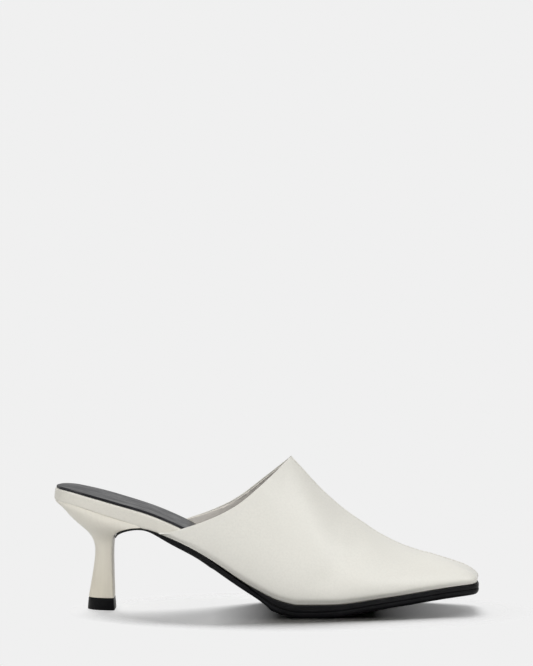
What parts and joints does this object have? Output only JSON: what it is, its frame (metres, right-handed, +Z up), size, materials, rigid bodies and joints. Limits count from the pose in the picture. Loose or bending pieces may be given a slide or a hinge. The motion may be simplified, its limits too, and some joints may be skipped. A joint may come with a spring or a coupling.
{
  "type": "mule shoe",
  "caption": "Right women's mule with a square closed toe, peaked throat, wrapped insole, black sole and slender flared heel.",
  "frame": {"origin": "on the floor under the middle of the shoe's box", "axes": "+X from the heel to the toe, +Y to the inner side of the right foot, +Z up"},
  "size_m": [0.2406, 0.0794, 0.0866],
  "materials": {
    "white_leather": "smooth off-white leather with a soft gloss",
    "rand_leather": "smooth off-white leather wrapped over the insole board",
    "sock_lining": "dark matte sock lining",
    "midsole_black": "black sole layer with a satin edge",
    "sole_black": "black sole with a satin edge",
    "heel_cover": "smooth off-white leather cover on a moulded heel",
    "lift_black": "hard black lift",
    "lining_beige": "pale beige lining inside the upper",
    "thread_white": "off-white sewing thread"
  },
  "bodies": {
    "root": {"upper": "white_leather", "insole": "rand_leather", "sock": "sock_lining", "midsole": "midsole_black", "outsole": "sole_black", "heel": "heel_cover", "heel_lift": "lift_black"}
  },
  "joints": []
}
